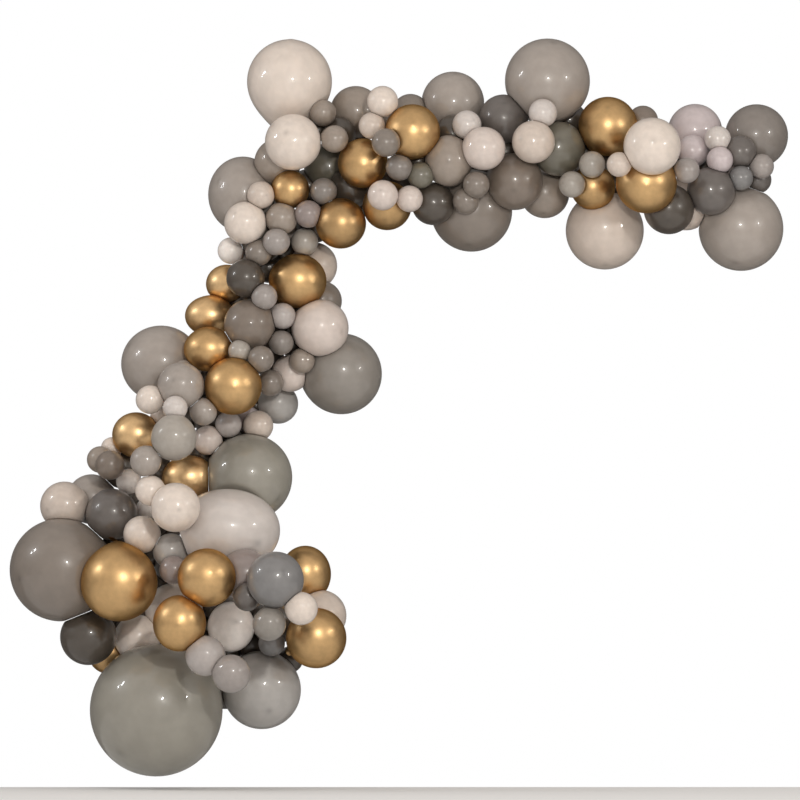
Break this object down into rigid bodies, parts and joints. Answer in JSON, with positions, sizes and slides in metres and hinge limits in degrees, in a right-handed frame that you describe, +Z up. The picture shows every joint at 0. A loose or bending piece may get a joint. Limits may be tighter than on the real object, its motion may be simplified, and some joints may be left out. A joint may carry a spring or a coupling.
{
  "type": "balloon garland",
  "caption": "Half-arch garland of latex balloons in white, pearl, greys and chrome gold, tied along a clear strip: a level span, a curving arm and a heavy foot, hung on a wall.",
  "frame": {"origin": "centre of the corner hanger, on the back face of the decorating strip where the span meets the arm, in the plane of the wall", "axes": "+X along the level span away from the arm, +Y into the wall, +Z up, so the front faces -Y"},
  "size_m": [3.0993, 0.8177, 2.935],
  "materials": {
    "white_latex": "opaque white to cream latex, satin gloss",
    "pearl_latex": "pale pearl grey latex, satin gloss",
    "grey_latex": "warm grey latex, satin gloss",
    "slate_latex": "dark slate grey latex, satin gloss",
    "gold_latex": "chrome gold latex, metallic with soft reflections",
    "strip_plastic": "clear plastic decorating strip with punched holes"
  },
  "bodies": {
    "root": {"strip": "strip_plastic", "end_slate_1": "slate_latex", "end_grey_2": "grey_latex", "end_white_6": "white_latex", "span_white_4": "white_latex", "span_grey_6": "grey_latex", "span_grey_7": "grey_latex", "span_grey_10": "grey_latex", "span_grey_12": "grey_latex", "corner_grey_2": "grey_latex", "corner_white_3": "white_latex", "corner_grey_5": "grey_latex", "corner_slate_6": "slate_latex", "arm_white_2": "white_latex", "arm_grey_6": "grey_latex", "arm_grey_8": "grey_latex", "shin_grey_3": "grey_latex", "shin_grey_7": "grey_latex", "foot_grey_2": "grey_latex", "foot_gold_5": "gold_latex", "foot_white_6": "white_latex", "end_slate_3": "slate_latex", "end_pearl_4": "pearl_latex", "end_slate_5": "slate_latex", "span_gold_2": "gold_latex", "span_gold_3": "gold_latex", "span_slate_5": "slate_latex", "span_slate_8": "slate_latex", "span_slate_9": "slate_latex", "span_grey_11": "grey_latex", "span_gold_13": "gold_latex", "span_gold_14": "gold_latex", "corner_gold_1": "gold_latex", "corner_gold_7": "gold_latex", "arm_gold_1": "gold_latex", "arm_gold_3": "gold_latex", "arm_slate_4": "slate_latex", "arm_grey_9": "grey_latex", "shin_gold_1": "gold_latex", "shin_gold_2": "gold_latex", "shin_white_5": "white_latex", "foot_grey_8": "grey_latex", "foot_pearl_9": "pearl_latex", "foot_white_10": "white_latex", "foot_white_12": "white_latex", "foot_slate_13": "slate_latex", "foot_grey_14": "grey_latex", "span_white_1": "white_latex", "corner_white_4": "white_latex", "arm_white_5": "white_latex", "arm_gold_7": "gold_latex", "shin_slate_6": "slate_latex", "foot_gold_1": "gold_latex", "foot_gold_3": "gold_latex", "foot_slate_4": "slate_latex", "foot_gold_7": "gold_latex", "foot_gold_11": "gold_latex", "shin_white_4": "white_latex"}
  },
  "joints": []
}
